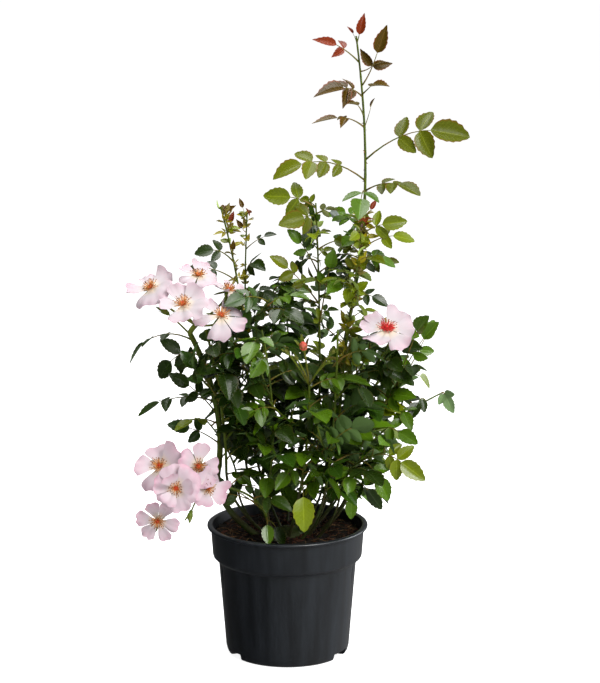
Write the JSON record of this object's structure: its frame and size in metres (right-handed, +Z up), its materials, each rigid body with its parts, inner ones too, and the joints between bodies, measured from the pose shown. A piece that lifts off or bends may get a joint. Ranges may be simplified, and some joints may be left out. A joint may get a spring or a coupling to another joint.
{
  "type": "rose bush in a pot",
  "caption": "A shrub rose in bloom in a round black plastic nursery pot: upright leafy canes and pale pink open flowers.",
  "frame": {"origin": "Centre of the pot's flat underside.", "axes": "+Z up along the pot's axis; -Y is the front, with the two clusters of flowers on the -X side and the single flower on the +X side."},
  "size_m": [0.4514, 0.319, 0.8918],
  "materials": {
    "pot": "satin black with a slight grain",
    "soil": "moist dark potting soil with bark fibres",
    "bark": "rough brown bark",
    "cane": "green to brown rose cane",
    "leaf": "glossy green leaf",
    "petal": "soft pale pink petal"
  },
  "bodies": {
    "root": {"pot": "pot", "soil": "soil", "root_crown": "bark", "cane_leader": "cane", "cane_lime_shoot": "cane", "cane_side_shoot": "cane", "cane_left_twin": "cane", "cane_left_fork": "cane", "cane_left_main": "cane", "cane_left_second": "cane", "cane_low_left": "cane", "cane_centre": "cane", "cane_centre_left": "cane", "cane_centre_right": "cane", "cane_right_main": "cane", "cane_right_arch": "cane", "cane_right_low": "cane", "cane_back_left": "cane", "cane_back_centre": "cane", "cane_back_right": "cane", "cane_left_low_back": "cane", "cane_right_low_back": "cane", "cane_flower_shoot": "cane", "foliage_leader": "leaf", "foliage_lime_shoot": "leaf", "foliage_side_shoot": "leaf", "foliage_left_twin": "leaf", "foliage_left_fork": "leaf", "foliage_left_main": "leaf", "foliage_left_second": "leaf", "foliage_low_left": "leaf", "foliage_centre": "leaf", "foliage_centre_left": "leaf", "foliage_centre_right": "leaf", "foliage_right_main": "leaf", "foliage_right_arch": "leaf", "foliage_right_low": "leaf", "foliage_back_left": "leaf", "foliage_back_centre": "leaf", "foliage_back_right": "leaf", "foliage_left_low_back": "leaf", "foliage_right_low_back": "leaf", "foliage_flower_shoot": "leaf", "blooms_upper": "petal", "blooms_lower": "petal", "bloom_right": "petal"}
  },
  "joints": []
}
